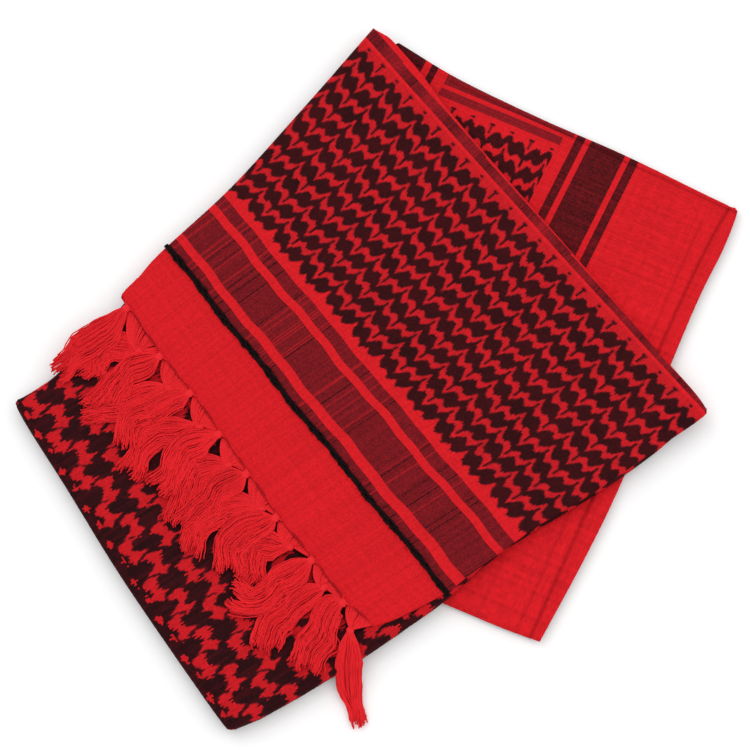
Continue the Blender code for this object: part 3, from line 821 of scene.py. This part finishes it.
def lump(centre, way, length, width, height):
    """Points and faces of a knot: a rounded body with grooves that wind round it like yarn.

    Angle a goes round the way of the tassel and b from end to end. The radius is a sine of b
    with grooves in a + 2 b.
    """
    a = np.linspace(0, 2 * math.pi, 25)[:-1]
    b = np.linspace(0, math.pi, 15)[1:-1]
    round_, end = np.meshgrid(a, b)
    radius = np.sin(end) ** 0.8 * (1 + 0.10 * np.cos(4 * round_ + 5 * end))
    forward = np.array([*way, 0.0])
    across = np.array([way[1], -way[0], 0.0])
    body = (np.multiply.outer(-np.cos(end) * length, forward)
            + np.multiply.outer(radius * np.cos(round_) * width, across)
            + np.multiply.outer(radius * np.sin(round_) * height, (0, 0, 1)))
    points = np.vstack([body.reshape(-1, 3), -length * forward, length * forward]) + centre
    number = np.arange(len(b) * len(a)).reshape(len(b), len(a))
    turned = np.roll(number, -1, axis=1)
    quads = np.stack([number[:-1], turned[:-1], turned[1:], number[1:]], axis=-1).reshape(-1, 4)
    low = np.column_stack([turned[0], number[0], np.full(len(a), len(points) - 2)])
    high = np.column_stack([number[-1], turned[-1], np.full(len(a), len(points) - 1)])
    return points, quads, np.vstack([low, high])


def unit(v):
    """The vector at length one."""
    return np.asarray(v, float) / np.linalg.norm(v)


def joined(parts):
    """Several sets of points, quads, triangles and a shade for each as one."""
    points, quads, caps, shades, cap_shades, shift = [], [], [], [], [], 0
    for (p, q, c), quad_shade, cap_shade in parts:
        points.append(p)
        quads.append(q + shift)
        caps.append(c + shift)
        shades.append(quad_shade)
        cap_shades.append(cap_shade)
        shift += len(p)
    groups = [np.vstack(quads), np.vstack(caps)]
    return np.vstack(points), groups, np.concatenate(shades + cap_shades)


def yarns(paths, radius, shades):
    """Tubes along paths with the shade of each yarn on its faces."""
    mesh = strands(paths, radius)
    return mesh, np.repeat(shades, len(mesh[1]) // len(shades)), np.tile(shades, 2)


def add_tassel(name, stands_for, root, knot, way, profile, sway, size, finish, seed):
    """One tassel: its yarns, and the lump of its knot."""
    paths, shades = tassel_paths(root, knot, way, profile, sway, YARNS, seed)
    heading = unit(np.subtract(way[0], knot))
    body = lump((*knot, profile[0][1]), heading, *size)
    dull = 0.94
    points, groups, shade = joined([
        yarns(paths, YARN_RADIUS, shades),
        (body, np.full(len(body[1]), dull), np.full(len(body[2]), dull))])
    thing = add_mesh(name, points, groups, finish, shade=shade)
    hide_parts(stands_for)
    return thing


def add_tassels(finish):
    """All tassels: at the edge from its knots, and below it from tabs of gathered warp."""
    made = []
    for number, (*way, spread) in enumerate(EDGE_TASSELS, 1):
        tie = np.asarray(EDGE_KNOTS[number - 1], float)
        knot = tie + unit(np.subtract(way[0], tie)) * 1.4
        root = (tie - AWAY * 1.4 - EDGEWISE * 3.2, tie - AWAY * 1.4 + EDGEWISE * 3.2)
        profile = [*EDGE_PROFILE, (0.45 * spread + 7.5, 10.8, 0.9)]
        made.append(add_tassel(f"tassel_at_edge_{number}", f"edge_tassel_{number}", root, knot,
                               way, profile, 1.0, EDGE_KNOT_SIZE, finish, number))
    for number, (knot, *way, spread) in enumerate(NET_TASSELS, 1):
        ends = np.asarray(EDGE_KNOTS[number - 1:number + 1], float)
        inset = 1.2 * unit(ends[1] - ends[0])
        root = (ends[0] + inset - AWAY * 0.4, ends[1] - inset - AWAY * 0.4)
        profile, sway = [*NET_PROFILE, (0.45 * spread + 7.5, 10.0, 0.8)], 1.0
        if number == len(NET_TASSELS):
            profile, sway = HANGING_PROFILE, 0.65
        made.append(add_tassel(f"tassel_in_net_{number}", f"net_tassel_{number}", root, knot, way,
                               profile, sway, NET_KNOT_SIZE, finish, 40 + number))
    return made


def dark_cord(finish):
    """The thick dark weft that borders the bands: a few fuzzy yarns lying on the cloth."""
    rng = np.random.default_rng(5)
    number = np.linspace(-3.15, 18.85, 240)
    paths = []
    for k in range(4):
        w = CORD_PLACE + 0.95 * np.sin(number * 1.9 + k * 1.6) - 0.45 * np.sin(number * 1.1)
        w += 0.4 * np.sin(number * 5.3 + k * 2.1) + rng.normal(0, 0.15, len(number))
        z = END_TOP + 0.6 + 0.25 * np.sin(number * 3.1 + k * 1.9)
        paths.append(np.column_stack([end_plan(number, w), z]))
    hair = rng.uniform(-3.2, 18.8, 260)
    spread = np.linspace(0, 1, 4)[:, None]
    drift = hair + spread * rng.uniform(-0.14, 0.14, hair.shape)
    reach = rng.uniform(-2.6, 2.6, hair.shape)
    bent = (CORD_PLACE + spread * reach + 0.5 * np.sin(spread * 3 + hair)).T
    hairs = end_plan(drift.T.ravel(), bent.ravel()).reshape(len(hair), len(spread), 2)
    hairs = np.concatenate([hairs, np.full((*hairs.shape[:2], 1), END_TOP + 0.75)], axis=2)
    points, groups, shade = joined([yarns(np.array(paths), 0.75, np.full(4, 1.0)),
                                    yarns(hairs, 0.14, np.full(len(hairs), 1.6))])
    return add_mesh("dark_border_yarn", points, groups, finish, shade=shade)


def build_floor():
    """A pale table top, wider than the view."""
    finish = plain_material("white_laminate", "FFFFFF", 0.6)
    mesh = bpy.data.meshes.new("table_top")
    mesh.from_pydata([(-4, -4, -0.0004), (4, -4, -0.0004), (4, 4, -0.0004), (-4, 4, -0.0004)], [],
                     [(0, 1, 2, 3)])
    mesh.materials.append(finish)
    floor = bpy.data.objects.new("table_top", mesh)
    bpy.context.scene.collection.objects.link(floor)


def area_light(name, place, aim, size, power):
    """A soft square lamp at a place, turned to a point."""
    data = bpy.data.lights.new(name, "AREA")
    data.size = size
    data.energy = power
    lamp = bpy.data.objects.new(name, data)
    lamp.location = place
    back = np.subtract(place, aim)
    flat = math.hypot(back[0], back[1])
    lamp.rotation_euler = (math.atan2(flat, back[2]), 0, math.atan2(back[0], -back[1]))
    bpy.context.scene.collection.objects.link(lamp)


def build_light_and_camera():
    """Even white light from above, and the camera over the cloth, tilted by 18 degrees."""
    world = bpy.data.worlds.new("room")
    world.use_nodes = True
    world.node_tree.nodes["Background"].inputs["Color"].default_value = (1, 1, 1, 1)
    world.node_tree.nodes["Background"].inputs["Strength"].default_value = 0.97
    bpy.context.scene.world = world
    area_light("window_left", (-1.1, 0.9, 1.5), (0, 0, 0), 1.2, 5)
    area_light("lamp_right", (1.3, -0.4, 1.6), (0, 0, 0), 1.4, 3)
    data = bpy.data.cameras.new("camera")
    data.lens = 115.2
    data.sensor_width = 36.0
    camera = bpy.data.objects.new("camera", data)
    camera.location = (-0.00487, -0.4084, 1.2431)
    camera.rotation_euler = (math.radians(18), 0, 0)
    bpy.context.scene.collection.objects.link(camera)
    bpy.context.scene.camera = camera
    bpy.context.scene.view_settings.view_transform = "Standard"


def main():
    """Loads the frame, dresses each node, and adds the table, light and camera."""
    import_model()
    end_cotton = cotton_material("woven_cotton_end", (RED, MAROON, BLACK))
    middle_cotton = cotton_material("woven_cotton_check", (RED, CHECK_MAROON, BLACK))
    side_cotton = cotton_material("woven_cotton_side", (RED, MAROON, BLACK))
    inner_cotton = cotton_material("woven_cotton_inner", (RED, MAROON, BLACK))
    red_yarn = yarn_material("fringe_yarn_red", FRINGE_RED)
    black_yarn = yarn_material("border_yarn_black", BORDER_BLACK)
    end = end_shell(end_cotton)
    middle = middle_shell(middle_cotton)
    side = side_shell(side_cotton)
    layers = hidden_layers(inner_cotton)
    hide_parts("end_panel")
    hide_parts("middle_panel")
    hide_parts("side_panel")
    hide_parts("folded_layers")
    tassels = add_tassels(red_yarn)
    cord = dark_cord(black_yarn)
    build_floor()
    build_light_and_camera()


main()
